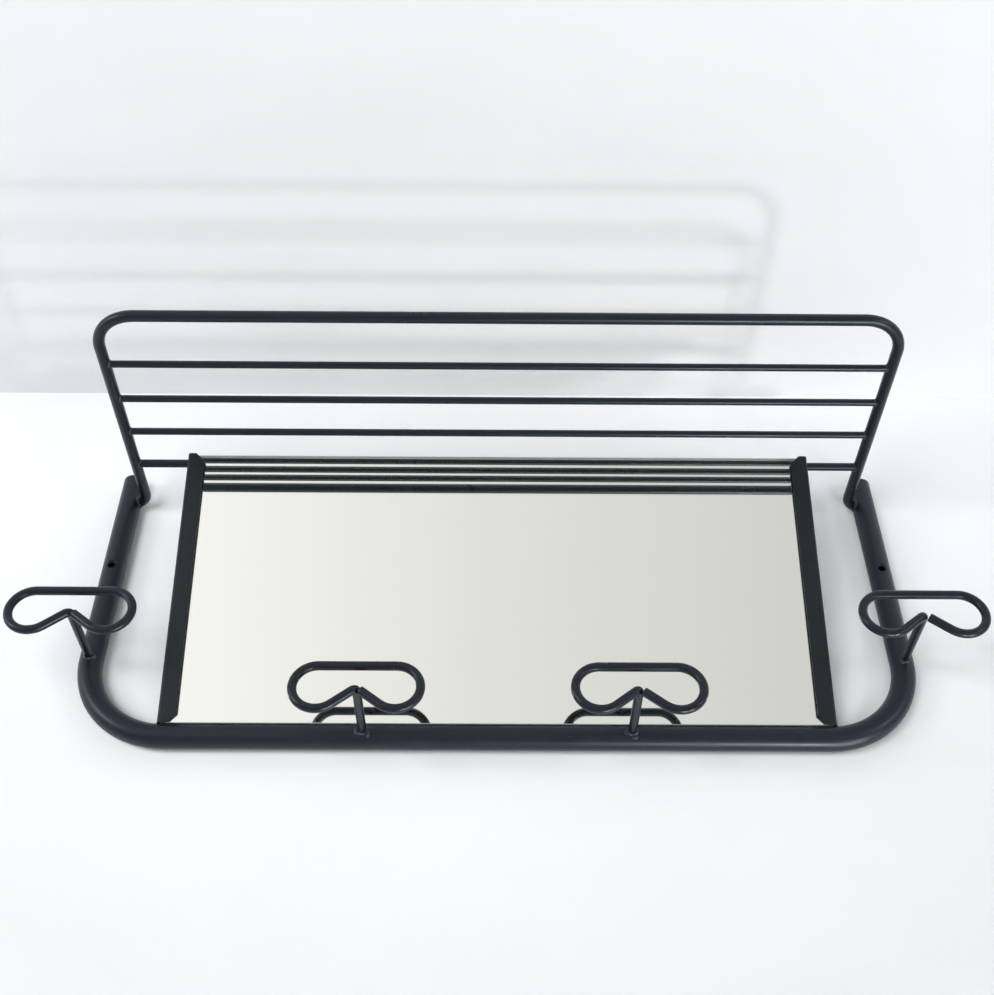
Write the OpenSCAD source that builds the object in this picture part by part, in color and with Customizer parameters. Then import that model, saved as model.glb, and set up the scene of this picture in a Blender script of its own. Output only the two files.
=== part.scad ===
// Wall rack with a tilted mirror, a rod shelf above it and four double wire hooks.
// Millimetres. +X is right, +Z is up the wall, the wall is the plane y = 0 and the
// front faces -Y. The origin lies on the wall, midway between the two screw holes.

/* [Frame tube] */
// Distance between the centrelines of the two legs
leg_spacing = 612; // [560:1:760]
// Outer diameter of the tube
tube_d = 18; // [16:0.5:20]
// Wall thickness of the tube
tube_wall = 2; // [1.5:0.1:2.5]
// Bend radius of the two lower corners, at the tube's centreline
tube_bend_r = 65; // [45:1:72]
// Height of the screw holes above the lower rail's centreline
leg_drop = 150; // [135:1:180]
// Length of each leg above its screw hole, without the end cap
leg_rise = 92; // [86:1:130]

/* [Screw holes] */
// Diameter of each screw hole, through both walls of the leg
hole_d = 5; // [4:0.1:6]
// Diameter of the countersink in the front wall
sink_d = 8.5; // [7:0.1:9]

/* [End caps] */
// Thickness of the cap's head, which closes the top of the leg
cap_head_t = 3; // [2.5:0.1:5]
// Radius of the head's rounded edge
cap_edge_r = 2.2; // [1:0.1:2.4]
// Length of the plug that is pushed into the leg
cap_plug_len = 10; // [6:0.5:20]
// Clearance between the plug and the tube, on the radius
cap_fit = 0.1; // [0.05:0.05:0.3]

/* [Shelf] */
// Height of the shelf rods' centrelines above the screw holes
shelf_rise = 70.5; // [60:0.5:80]
// Diameter of the shelf's outer rod
outer_rod_d = 8.5; // [7.5:0.5:9]
// From each leg's centreline inward to the side rod's centreline
side_rod_inset = 15; // [14:0.5:24]
// Radius of the shelf's two front corners, at the centreline
shelf_corner_r = 30; // [16:1:40]
// Radius of the bend that turns each side rod outward into its leg
foot_bend_r = 12; // [8:0.5:13.5]
// Diameter of the three deck rods
deck_rod_d = 5.5; // [4:0.5:6]
// Diameter of the rear rod, which the mirror leans on
rear_rod_d = 6.5; // [5:0.5:7]
// Distance of the rear rod's centreline from the wall
rear_rod_out = 58.5; // [50:0.5:66]
// From the rear rod forward to the nearest deck rod
rear_pitch = 37.5; // [30:0.5:45]
// Pitch of the deck rods
deck_pitch = 36; // [30:0.5:40]
// From the foremost deck rod to the shelf's front rod
front_pitch = 47; // [44:0.5:60]

/* [Mirror] */
// Width over the two side channels
mirror_w = 492; // [420:1:500]
// Width of each channel's front face
channel_face = 13.5; // [10:0.5:16]
// Depth of each channel, front to back
channel_depth = 11.5; // [10.5:0.1:12]
// Sheet thickness of the channels
sheet_t = 1.2; // [1:0.1:1.5]
// Radius of the channels' outer edges
channel_edge_r = 2; // [1.6:0.1:2.5]
// Size of the slanted corner at both ends of each channel
channel_corner = 7; // [4:0.5:9]
// From the rail's centreline back to the rear face of the channels
channel_seat = 6.25; // [5:0.25:7]
// Length of the channels past the rear rod's centreline
channel_over = 2; // [1:0.1:4]
// Thickness of the mirror glass
glass_t = 3; // [3:0.1:4]
// Width of the seamed (ground) front edge of the glass
glass_seam = 1.2; // [0.5:0.1:1.5]
// Distance of the glass below the channels' upper ends
glass_drop = 0.8; // [0:0.1:3]
// Thickness of the backing board
board_t = 3; // [2:0.1:3]
// Width of the cushion strips between the board and the channels
strip_w = 10; // [6:0.5:12]

/* [Hooks] */
// Diameter of the hook wire
wire_d = 6.5; // [5:0.1:7]
// Distance of the hook loops' centreline from the wall
hook_out = 74.5; // [60:0.5:95]
// Radius of the round lobes, at the wire's centreline
lobe_r = 17; // [13:0.5:19]
// Distance between the centres of the two lobes
lobe_spacing = 54; // [46:1:70]
// Height of the lobes' centres above the stem
lobe_rise = 0.6; // [0:0.1:3]
// Radius of the bend between the stem and the first arm
stem_bend_r = 4.5; // [3.5:0.5:7]
// Distance of the wire's cut end from the stem's axis
cut_end_off = 4; // [3.8:0.1:8]
// Height of the side hooks above the start of the lower bends
side_hook_rise = -1; // [-1:0.5:30]
// Distance of the rail hooks from the middle of the rail
rail_hook_x = 97; // [55:1:170]
// Height of the rail hooks above the rail's centreline
rail_hook_rise = 1; // [0:0.5:2]

/* [Welds and clearances] */
// Leg length of the weld beads on the shelf's rods
rod_bead = 0.8; // [0.6:0.1:1.5]
// Leg length of the weld beads on the tube
tube_bead = 1.6; // [1:0.1:2.5]
// Gap between two welded pieces, bridged by the bead
weld_gap = 0.05; // [0.02:0.01:0.1]
// Clearance of the glass, the board and the strips in the channels
pane_fit = 0.1; // [0.05:0.05:0.2]
// Clearance of the glass and the board above the rail
rail_fit = 0.3; // [0.1:0.1:1]
// Clearance of the glass and the board at each side
side_fit = 0.8; // [0.3:0.1:2]

/* [Hidden] */

// Facets of the round shapes in a preview
$fn = 48;

satin_black = [0.13, 0.135, 0.14];
plastic_black = [0.09, 0.09, 0.1];
glass_grey = [0.8, 0.84, 0.84];
board_brown = [0.45, 0.32, 0.2];
foam_grey = [0.3, 0.3, 0.3];
bead_grey = [0.2, 0.2, 0.21];

// Cutting bodies reach this far past what they cut
past = 1;
// The wire's joints: how much the ball exceeds the wire's radius, and how far
// each run stops short of the joint's middle, inside the ball
joint_over = 0.05;
joint_cut = 0.1;

// A cross rod's bead stays this much below the side rod's radius
bead_step = 0.35;

// Frame tube
tube_r = tube_d / 2;
leg_x = leg_spacing / 2;
leg_bottom = tube_bend_r - leg_drop;
rail_half = leg_x - tube_bend_r;

// Shelf
side_x = leg_x - side_rod_inset;
deck_3_out = rear_rod_out + rear_pitch;
deck_2_out = deck_3_out + deck_pitch;
deck_1_out = deck_2_out + deck_pitch;
shelf_out = deck_1_out + front_pitch;
foot_start = tube_r + foot_bend_r;

// Mirror: the channels' rear faces pass behind the rail's centreline by
// channel_seat and lean against the rear rod, which sets the tilt
rear_up = shelf_rise + leg_drop;
rear_fwd = rear_rod_out - tube_r;
lean_off = channel_seat + rear_rod_d / 2 + weld_gap;
tilt = atan2(rear_fwd, rear_up) + asin(lean_off / norm([rear_fwd, rear_up]));
rod_along = rear_up * cos(tilt) + rear_fwd * sin(tilt);
channel_foot = tube_r + bend_lift(mirror_w / 2) * cos(tilt) + weld_gap;
channel_top = rod_along + channel_over;
channel_back_y = channel_seat;
channel_front_y = channel_seat - channel_depth;
glass_front_y = channel_front_y + sheet_t + pane_fit;
board_front_y = glass_front_y + glass_t + pane_fit;
strip_front_y = board_front_y + board_t;
strip_t = channel_back_y - sheet_t - strip_front_y;
pane_w = mirror_w - 2 * (sheet_t + side_fit);
pane_foot = tube_r + rail_fit;
pane_h = channel_top - glass_drop - pane_foot;

// Hooks: both arms are tangent to the lobes and meet on the stem's axis
lobe_x = lobe_spacing / 2;
apex_to_lobe = norm([lobe_x, lobe_rise]);
arm_len = sqrt(apex_to_lobe * apex_to_lobe - lobe_r * lobe_r);
arm_angle = asin(lobe_r / apex_to_lobe) - atan2(lobe_rise, lobe_x);
rail_hook_z = rail_hook_rise - leg_drop;
side_hook_z = side_hook_rise + leg_bottom;

// ---------------------------------------------------------------- helpers

// How far the frame's lower bend has lifted the top of the tube at x
function bend_lift(x) =
    let (inner_r = tube_bend_r - tube_r, in_bend = max(0, x - rail_half))
    inner_r - sqrt(inner_r * inner_r - in_bend * in_bend);

// Round bar along +X from x = a to x = b
module bar_x(a, b, d) {
    translate([a, 0, 0]) rotate([0, 90, 0]) cylinder(h = b - a, d = d);
}

// Part of a ring in the XY plane, centreline radius r, from angle a to angle b
module arc(r, a, b, d) {
    rotate([0, 0, a]) rotate_extrude(angle = b - a, $fn = 96)
        translate([r, 0]) circle(d = d, $fn = 36);
}

// Stands a shape drawn in the XY plane up against the wall: Y turns to Z, Z to -Y
module upright() {
    rotate([90, 0, 0]) children();
}

// Conical bead round a bar of diameter d, on a face at z = 0 and sunk below it
module bead(d, leg, sunk) {
    $fn = 96;
    bore = d + 2 * weld_gap;
    difference() {
        union() {
            cylinder(h = leg, d1 = bore + 2 * leg, d2 = bore);
            translate([0, 0, -sunk]) cylinder(h = sunk, d = bore + 2 * leg);
        }
        translate([0, 0, -sunk - past]) cylinder(h = sunk + leg + 2 * past, d = bore);
    }
}

// Places children in the mirror's own frame: X as before, Z up along the mirror
// from the rail's centreline, -Y out of its front
module on_mirror() {
    translate([0, -tube_r, -leg_drop]) rotate([tilt, 0, 0]) children();
}

// ---------------------------------------------------------------- frame tube

// The bent bar of the frame, d thick, with its legs longer by extra
module frame_path(d, extra) {
    translate([0, -tube_r, 0]) {
        translate([0, 0, -leg_drop]) bar_x(-rail_half, rail_half, d);
        for (side = [-1, 1]) {
            translate([side * leg_x, 0, leg_bottom])
                cylinder(h = leg_rise + extra - leg_bottom, d = d);
        }
        translate([-rail_half, 0, leg_bottom]) upright() arc(tube_bend_r, 180, 270, d);
        translate([rail_half, 0, leg_bottom]) upright() arc(tube_bend_r, 270, 360, d);
    }
}

// Hole through both walls of a leg, countersunk from the front
module screw_hole() {
    sink_depth = (sink_d - hole_d) / 2;
    upright() {
        translate([0, 0, -past]) cylinder(h = tube_d + 2 * past, d = hole_d);
        translate([0, 0, tube_d - sink_depth])
            cylinder(h = sink_depth + past, d1 = hole_d, d2 = sink_d + 2 * past);
    }
}

module frame_tube() {
    color(satin_black) difference() {
        frame_path(tube_d, 0);
        frame_path(tube_d - 2 * tube_wall, past);
        for (side = [-1, 1]) {
            translate([side * leg_x, 0, 0]) screw_hole();
        }
    }
}

// Cap with a rounded head and a plug, standing on the end of a leg
module frame_end_cap(side) {
    plug_d = tube_d - 2 * (tube_wall + cap_fit);
    color(plastic_black) translate([side * leg_x, -tube_r, leg_rise]) {
        rotate_extrude() {
            square([tube_r - cap_edge_r, cap_head_t]);
            square([tube_r, cap_head_t - cap_edge_r]);
            intersection() {
                translate([tube_r - cap_edge_r, cap_head_t - cap_edge_r]) circle(cap_edge_r);
                square([tube_r, cap_head_t]);
            }
        }
        translate([0, 0, -cap_plug_len]) cylinder(h = cap_plug_len, d = plug_d);
    }
}

module frame_end_cap_left() {
    frame_end_cap(-1);
}

module frame_end_cap_right() {
    frame_end_cap(1);
}

// ---------------------------------------------------------------- shelf

// Both legs where the shelf's feet meet them, thicker all round by grow
module leg_stubs(grow) {
    for (side = [-1, 1]) {
        translate([side * leg_x, -tube_r, shelf_rise - tube_d])
            cylinder(h = 2 * tube_d, d = tube_d + 2 * grow);
    }
}

// Half of the outer rod on the right, in the XY plane with -Y to the front
module outer_rod_half() {
    straight = shelf_out - shelf_corner_r - foot_start;
    translate([side_x, -foot_start, 0]) rotate([90, 0, 0]) cylinder(h = straight, d = outer_rod_d);
    translate([side_x + foot_bend_r, -foot_start, 0]) arc(foot_bend_r, 90, 180, outer_rod_d);
    translate([0, -tube_r, 0]) bar_x(side_x + foot_bend_r, leg_x, outer_rod_d);
    translate([side_x - shelf_corner_r, shelf_corner_r - shelf_out, 0])
        arc(shelf_corner_r, 270, 360, outer_rod_d);
    translate([0, -shelf_out, 0]) bar_x(0, side_x - shelf_corner_r, outer_rod_d);
}

module shelf_outer_rod() {
    color(satin_black) difference() {
        translate([0, 0, shelf_rise]) {
            outer_rod_half();
            mirror([1, 0, 0]) outer_rod_half();
        }
        leg_stubs(weld_gap);
    }
}

// The two side rods as cutting bodies, larger by the weld gap
module side_rod_cutter(out) {
    for (side = [-1, 1]) {
        translate([side * side_x, -out, shelf_rise]) rotate([90, 0, 0])
            cylinder(h = 4 * outer_rod_d, d = outer_rod_d + 2 * weld_gap, center = true);
    }
}

// Cross rod of diameter d at a distance from the wall, coped onto the side rods
module cross_rod(out, d) {
    color(satin_black) difference() {
        translate([0, -out, shelf_rise]) bar_x(-side_x, side_x, d);
        side_rod_cutter(out);
    }
}

module shelf_deck_rod_1() {
    cross_rod(deck_1_out, deck_rod_d);
}

module shelf_deck_rod_2() {
    cross_rod(deck_2_out, deck_rod_d);
}

module shelf_deck_rod_3() {
    cross_rod(deck_3_out, deck_rod_d);
}

module shelf_rear_rod() {
    cross_rod(rear_rod_out, rear_rod_d);
}

// ---------------------------------------------------------------- mirror

// Section of the left channel, open towards +X, in the XY plane
module channel_section() {
    edge_x = channel_edge_r - mirror_w / 2;
    difference() {
        union() {
            translate([edge_x, channel_front_y])
                square([channel_face - channel_edge_r, channel_depth]);
            translate([-mirror_w / 2, channel_front_y + channel_edge_r])
                square([channel_face, channel_depth - 2 * channel_edge_r]);
            translate([edge_x, channel_front_y + channel_edge_r]) circle(channel_edge_r);
            translate([edge_x, channel_back_y - channel_edge_r]) circle(channel_edge_r);
        }
        translate([sheet_t - mirror_w / 2, channel_front_y + sheet_t])
            square([channel_face, channel_depth - 2 * sheet_t]);
    }
}

module left_channel() {
    corner = channel_corner * sqrt(2);
    inner_x = channel_face - mirror_w / 2;
    difference() {
        translate([0, 0, channel_foot])
            linear_extrude(height = channel_top - channel_foot) channel_section();
        for (end = [channel_foot, channel_top]) {
            translate([inner_x, 0, end]) rotate([0, 45, 0])
                cube([corner, 4 * channel_depth, corner], center = true);
        }
    }
}

module mirror_channel_left() {
    color(satin_black) on_mirror() left_channel();
}

module mirror_channel_right() {
    color(satin_black) on_mirror() mirror([1, 0, 0]) left_channel();
}

// Plate with its front edges ground off at top and bottom
module mirror_glass() {
    color(glass_grey) on_mirror() translate([-pane_w / 2, glass_front_y, pane_foot])
        rotate([90, 0, 90]) linear_extrude(height = pane_w) polygon([
            [glass_seam, 0],
            [glass_t, 0],
            [glass_t, pane_h],
            [glass_seam, pane_h],
            [0, pane_h - glass_seam],
            [0, glass_seam]
        ]);
}

module mirror_backing() {
    color(board_brown) on_mirror() translate([-pane_w / 2, board_front_y, pane_foot])
        cube([pane_w, board_t, pane_h]);
}

// Strip that presses the board and the glass against the channel's front
module cushion_strip(side) {
    color(foam_grey) on_mirror()
        translate([side * (pane_w - strip_w) / 2 - strip_w / 2, strip_front_y, pane_foot + channel_corner])
            cube([strip_w, strip_t, pane_h - 2 * channel_corner]);
}

module cushion_strip_left() {
    cushion_strip(-1);
}

module cushion_strip_right() {
    cushion_strip(1);
}

// ---------------------------------------------------------------- hooks

// Joint between two runs of the wire: a ball that is a hair thicker than the wire
module joint_ball() {
    sphere(d = wire_d + 2 * joint_over);
}

// The same ball on a run along X, with its poles on the wire's axis
module joint(x) {
    translate([x, 0, 0]) rotate([0, 90, 0]) joint_ball();
}

// Straight run of the wire along +X between two joints
module wire_run(a, b) {
    bar_x(a + joint_cut, b - joint_cut, wire_d);
}

// Bent run of the wire between two joints
module wire_bend(r, a, b) {
    cut = joint_cut / r * 180 / PI;
    arc(r, a + cut, b - cut, wire_d);
}

// One bent wire, drawn lying down: the wall is z = 0 and Z points to the front.
// The stem rises out of the tube at the origin, turns into the left arm, and the
// wire runs round both lobes to its cut end beside the stem.
module hook_wire() {
    stem_top = hook_out - stem_bend_r;
    translate([0, 0, tube_r]) cylinder(h = stem_top - joint_cut - tube_r, d = wire_d);
    translate([0, 0, stem_top]) joint_ball();
    translate([0, 0, hook_out]) {
        rotate([0, 0, 180 + arm_angle]) {
            translate([stem_bend_r, 0, -stem_bend_r]) upright() wire_bend(stem_bend_r, 90, 180);
            joint(stem_bend_r);
            wire_run(stem_bend_r, arm_len);
            joint(arm_len);
        }
        rotate([0, 0, -arm_angle]) {
            wire_run(cut_end_off, arm_len);
            joint(arm_len);
        }
        translate([-lobe_x, lobe_rise, 0]) wire_bend(lobe_r, 90, 270 + arm_angle);
        translate([lobe_x, lobe_rise, 0]) wire_bend(lobe_r, -90 - arm_angle, 90);
        translate([0, lobe_rise + lobe_r, 0]) {
            joint(-lobe_x);
            joint(lobe_x);
            wire_run(-lobe_x, lobe_x);
        }
    }
}

// Puts a hook, drawn lying down, on the frame and copes its stem onto the tube
module place_hook(x, z) {
    color(satin_black) difference() {
        translate([x, 0, z]) upright() hook_wire();
        frame_path(tube_d + 2 * weld_gap, 0);
    }
}

module side_hook(side) {
    place_hook(side * leg_x, side_hook_z);
}

module rail_hook(side) {
    place_hook(side * rail_hook_x, rail_hook_z);
}

module hook_1() {
    side_hook(-1);
}

module hook_2() {
    rail_hook(-1);
}

module hook_3() {
    rail_hook(1);
}

module hook_4() {
    side_hook(1);
}

// ---------------------------------------------------------------- weld beads

// Bead where a hook's stem stands on the tube
module stem_bead(x, z) {
    translate([x, -tube_d, z]) upright() bead(wire_d, tube_bead, tube_r / 2);
}

module hook_weld_beads() {
    color(bead_grey) difference() {
        for (side = [-1, 1]) {
            stem_bead(side * leg_x, side_hook_z);
            stem_bead(side * rail_hook_x, rail_hook_z);
        }
        frame_path(tube_d + 2 * weld_gap, 0);
    }
}

// Beads at both ends of one cross rod
module cross_rod_beads(out, d) {
    leg = min(rod_bead, (outer_rod_d - d) / 2 - bead_step);
    difference() {
        for (side = [-1, 1]) {
            translate([side * (side_x - outer_rod_d / 2), -out, shelf_rise])
                rotate([0, -side * 90, 0]) bead(d, leg, outer_rod_d / 2);
        }
        side_rod_cutter(out);
    }
}

module deck_rod_weld_beads() {
    color(bead_grey) for (out = [deck_1_out, deck_2_out, deck_3_out]) {
        cross_rod_beads(out, deck_rod_d);
    }
}

module rear_rod_weld_beads() {
    color(bead_grey) cross_rod_beads(rear_rod_out, rear_rod_d);
}

// Collar on the bend of the right shelf foot where it enters its leg, in the XY
// plane
module foot_collar() {
    entry = acos((leg_x - tube_r - side_x - foot_bend_r) / foot_bend_r);
    reach = 2 * tube_bead / foot_bend_r * 180 / PI;
    bore = outer_rod_d + 2 * weld_gap;
    translate([side_x + foot_bend_r, -foot_start, 0]) difference() {
        arc(foot_bend_r, entry - reach, entry + reach, bore + 2 * tube_bead);
        arc(foot_bend_r, entry - 2 * reach, entry + 2 * reach, bore);
    }
}

module shelf_foot_weld_beads() {
    color(bead_grey) difference() {
        intersection() {
            translate([0, 0, shelf_rise]) {
                foot_collar();
                mirror([1, 0, 0]) foot_collar();
            }
            leg_stubs(weld_gap + tube_bead);
        }
        leg_stubs(weld_gap);
    }
}

// Round bead along the right channel's web, drawn on the mirror, at a height up it
module web_bead(up, y_from, y_to) {
    translate([mirror_w / 2, y_to, up]) rotate([90, 0, 0])
        cylinder(h = y_to - y_from, d = 2 * tube_bead, $fn = 96);
}

// A channel filled solid and larger by the weld gap, as a cutting body
module channel_block(side) {
    grow = 2 * weld_gap;
    translate([side * (mirror_w - channel_face) / 2, (channel_front_y + channel_back_y) / 2,
               (channel_foot + channel_top) / 2])
        cube([channel_face + grow, channel_depth + grow, channel_top - channel_foot + grow],
             center = true);
}

// The tube under the right channel's foot as a cutting body, drawn on the mirror:
// straight, with its top through two points of the lower bend beside the bead
module foot_cutter() {
    lift_in = bend_lift(mirror_w / 2 - tube_bead);
    lift_out = bend_lift(mirror_w / 2 + tube_bead);
    slope = atan2(lift_out - lift_in, 2 * tube_bead);
    rotate([-tilt, 0, 0]) translate([mirror_w / 2, 0, tube_r + (lift_in + lift_out) / 2])
        rotate([0, 90 - slope, 0]) translate([tube_r, 0, 0])
            cylinder(h = 2 * tube_d, d = tube_d + 2 * weld_gap, center = true, $fn = 96);
}

// The bead stays outside the web, also below the channel's foot
module channel_foot_bead() {
    difference() {
        web_bead(channel_foot, -tube_r / 4, tube_r / 4);
        translate([0, 0, -tube_bead]) channel_block(1);
        foot_cutter();
    }
}

module channel_foot_weld_beads() {
    color(bead_grey) on_mirror() {
        channel_foot_bead();
        mirror([1, 0, 0]) channel_foot_bead();
    }
}

module channel_top_weld_beads() {
    color(bead_grey) on_mirror() for (side = [-1, 1]) {
        difference() {
            translate([side * mirror_w / 2, channel_back_y, rod_along]) sphere(d = rear_rod_d);
            channel_block(side);
            translate([0, channel_back_y + rear_rod_d / 2 + weld_gap, rod_along])
                bar_x(-side_x, side_x, rear_rod_d + 2 * weld_gap);
        }
    }
}

// ---------------------------------------------------------------- nodes

frame_tube();
frame_end_cap_left();
frame_end_cap_right();
shelf_outer_rod();
shelf_deck_rod_1();
shelf_deck_rod_2();
shelf_deck_rod_3();
shelf_rear_rod();
mirror_channel_left();
mirror_channel_right();
mirror_glass();
mirror_backing();
cushion_strip_left();
cushion_strip_right();
hook_1();
hook_2();
hook_3();
hook_4();
hook_weld_beads();
deck_rod_weld_beads();
rear_rod_weld_beads();
shelf_foot_weld_beads();
channel_foot_weld_beads();
channel_top_weld_beads();
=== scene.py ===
"""Looks of the wall rack with a tilted mirror, a rod shelf and four double wire hooks.

The row frame is the CAD's: metres, +X right, +Z up the wall, the wall at y = 0, -Y to the front.
"""

import math
import random

import bmesh
import bpy
from mathutils import Matrix, Vector, noise


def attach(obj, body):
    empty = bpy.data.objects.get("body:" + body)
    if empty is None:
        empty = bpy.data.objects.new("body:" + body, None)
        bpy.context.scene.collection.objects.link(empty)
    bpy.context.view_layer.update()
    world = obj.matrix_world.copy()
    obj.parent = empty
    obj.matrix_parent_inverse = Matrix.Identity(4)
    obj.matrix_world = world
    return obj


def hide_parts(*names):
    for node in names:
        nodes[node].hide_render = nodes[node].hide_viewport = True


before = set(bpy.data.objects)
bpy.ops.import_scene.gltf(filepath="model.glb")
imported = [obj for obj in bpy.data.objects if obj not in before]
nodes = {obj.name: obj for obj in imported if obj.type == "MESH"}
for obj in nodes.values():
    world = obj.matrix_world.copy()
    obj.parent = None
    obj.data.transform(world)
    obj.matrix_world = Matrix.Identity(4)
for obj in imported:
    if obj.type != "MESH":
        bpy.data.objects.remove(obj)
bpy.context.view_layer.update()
scene = bpy.context.scene

MM = 0.001

# Sizes of the CAD solids that the pieces below follow, in millimetres

# The frame
LEG_X = 306.0
TUBE_R = 9.0
RAIL_Z = -150.0

# The shelf
SHELF_Z = 70.5
SIDE_ROD_X = 291.0
OUTER_ROD_R = 4.25
DECK_ROD_R = 2.75
REAR_ROD_R = 3.25
REAR_ROD_OUT = 58.5
DECK_ROD_OUTS = (168.0, 132.0, 96.0)
FOOT_BEND_R = 12.0

# The mirror. Heights run along it from the rail's axis, depths to its back from its plane through that axis
MIRROR_HALF_W = 246.0
CHANNEL_FACE = 13.5
CHANNEL_FRONT = -5.25
CHANNEL_BACK = 6.25
SHEET = 1.2
CHANNEL_EDGE_R = 2.0
CHANNEL_CORNER = 7.0
CHANNEL_FOOT = 9.266
WELD_GAP = 0.05
CHANNEL_PAST_ROD = 2.0
GLASS_FRONT = -3.95
GLASS_T = 3.0
GLASS_SEAM = 1.2
FOOT_SEAM = 0.4
GLASS_OFF_RAIL = 0.3
GLASS_UNDER_TOP = 0.8
PANE_HALF_W = 244.0

# The hooks
WIRE_R = 3.25
HOOK_OUT = 74.5
LOBE_R = 17.0
LOBE_X = 27.0
LOBE_RISE = 0.6
STEM_BEND_R = 4.5
STEM_SINK = 0.5
SIDE_HOOK_Z = -86.0
RAIL_HOOK_X = 97.0
RAIL_HOOK_RISE = 1.0

# Where each hook's wire is cut off, from the hook's middle: some were closed more than others
CUT_ENDS = (3.4, 3.4, 3.55, 3.72)

# The mirror leans until its channels rest on the rear rod
LEAN = CHANNEL_BACK + REAR_ROD_R + WELD_GAP
REAR_UP = SHELF_Z - RAIL_Z
REAR_FORWARD = REAR_ROD_OUT - TUBE_R
REAR_REACH = math.hypot(REAR_UP, REAR_FORWARD)
TILT = math.atan2(REAR_FORWARD, REAR_UP) + math.asin(LEAN / REAR_REACH)
ROD_ALONG = REAR_UP * math.cos(TILT) + REAR_FORWARD * math.sin(TILT)
CHANNEL_TOP = ROD_ALONG + CHANNEL_PAST_ROD
GLASS_FOOT = TUBE_R + GLASS_OFF_RAIL
GLASS_TOP = CHANNEL_TOP - GLASS_UNDER_TOP

# ------------------------------------------------------------------ camera

CAMERA_AT = (-0.00617, -0.81883, -0.61356)
CAMERA_PITCH, CAMERA_YAW, CAMERA_ROLL = 40.5175, -0.4155, 0.016
CAMERA_LENS = 45.92
CLIP_NEAR, CLIP_FAR = 0.02, 50

camera = bpy.data.objects.new("camera", bpy.data.cameras.new("camera"))
scene.collection.objects.link(camera)
camera.data.lens = CAMERA_LENS
camera.data.clip_start = CLIP_NEAR
camera.data.clip_end = CLIP_FAR
camera.matrix_world = (
    Matrix.Translation(CAMERA_AT)
    @ Matrix.Rotation(math.radians(CAMERA_YAW), 4, "Z")
    @ Matrix.Rotation(math.radians(90 + CAMERA_PITCH), 4, "X")
    @ Matrix.Rotation(math.radians(CAMERA_ROLL), 4, "Z")
)
scene.camera = camera
scene.view_settings.view_transform = "Standard"


# ------------------------------------------------------------------ material helpers

class Tree:
    """A material's node tree with short calls for the nodes that the finishes below share."""

    def __init__(self, name):
        self.material = bpy.data.materials.new(name)
        self.material.use_nodes = True
        self.tree = self.material.node_tree
        self.shader = self.tree.nodes["Principled BSDF"]
        self.place = self.add("ShaderNodeTexCoord").outputs["Object"]

    def add(self, kind, inputs=None, **settings):
        made = self.tree.nodes.new(kind)
        for key, value in settings.items():
            setattr(made, key, value)
        for key, value in (inputs or {}).items():
            self.put(value, made.inputs[key])
        return made

    def put(self, value, socket):
        if isinstance(value, bpy.types.NodeSocket):
            self.tree.links.new(value, socket)
        else:
            socket.default_value = value

    def set(self, **values):
        for key, value in values.items():
            self.put(value, self.shader.inputs[key.replace("_", " ")])

    def noise(self, size_mm, detail=2.0, roughness=0.5, place=None):
        """Noise with features about size_mm across."""
        made = self.add("ShaderNodeTexNoise", {
            "Vector": place or self.place, "Scale": 1 / (size_mm * MM), "Detail": detail, "Roughness": roughness})
        return made.outputs["Fac"]

    def span(self, value, low, high, from_low=0.0, from_high=1.0):
        """Maps from_low..from_high to low..high and holds it there."""
        made = self.add("ShaderNodeMapRange", {
            "Value": value, "From Min": from_low, "From Max": from_high, "To Min": low, "To Max": high})
        return made.outputs["Result"]

    def math(self, operation, a, b=0.0):
        return self.add("ShaderNodeMath", {0: a, 1: b}, operation=operation).outputs["Value"]

    def mix(self, factor, a, b):
        made = self.add("ShaderNodeMix", data_type="RGBA")
        self.put(factor, made.inputs[0])
        self.put(a, made.inputs[6])
        self.put(b, made.inputs[7])
        return made.outputs[2]

    def bump(self, height, depth_mm, under=None):
        """A normal from height, laid over the one in under."""
        made = self.add("ShaderNodeBump", {"Height": height, "Distance": depth_mm * MM, "Strength": 1.0})
        if under is not None:
            self.put(under, made.inputs["Normal"])
        return made.outputs["Normal"]


def shade(tone, factor):
    """A colour for a socket: tone made darker or lighter."""
    return [c * factor for c in tone] + [1]


def satin_paint(name, tone, rough, peel_mm=0.9, peel_depth=0.012, specks=1.0):
    """Satin black powder coat: soft orange peel, fine grain, cloudy sheen, rubbed places and specks of dust."""
    t = Tree(name)
    cloud = t.noise(38, 3)
    rub = t.span(t.noise(7, 4, 0.6), 0.0, 1.0, 0.56, 0.74)
    base = t.mix(cloud, shade(tone, 0.82), shade(tone, 1.22))
    base = t.mix(t.math("MULTIPLY", rub, 0.35), base, shade(tone, 2.1))
    cells = t.add("ShaderNodeTexVoronoi", {"Vector": t.place, "Scale": 1 / (9 * MM)}, feature="F1")
    rare = t.span(t.add("ShaderNodeSeparateColor", {"Color": cells.outputs["Color"]}).outputs[0], 0, 1, 0.7, 0.74)
    dot = t.span(cells.outputs["Distance"], 1.0, 0.0, 0.018, 0.034)
    dust = t.math("MULTIPLY", t.math("MULTIPLY", dot, rare), 0.55 * specks)
    base = t.mix(dust, base, [0.33, 0.33, 0.34, 1])
    t.set(Base_Color=base, IOR=1.45, Specular_Tint=[0.82, 0.9, 1.0, 1])
    shine = t.math("ADD", t.span(cloud, rough - 0.05, rough + 0.06, 0.3, 0.7), t.math("MULTIPLY", rub, 0.05))
    t.set(Roughness=t.math("ADD", shine, t.math("MULTIPLY", dust, 0.3)))
    peel = t.bump(t.noise(peel_mm, 2), peel_depth)
    t.set(Normal=t.bump(t.noise(0.28, 1), 0.004, under=peel))
    return t.material


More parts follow.
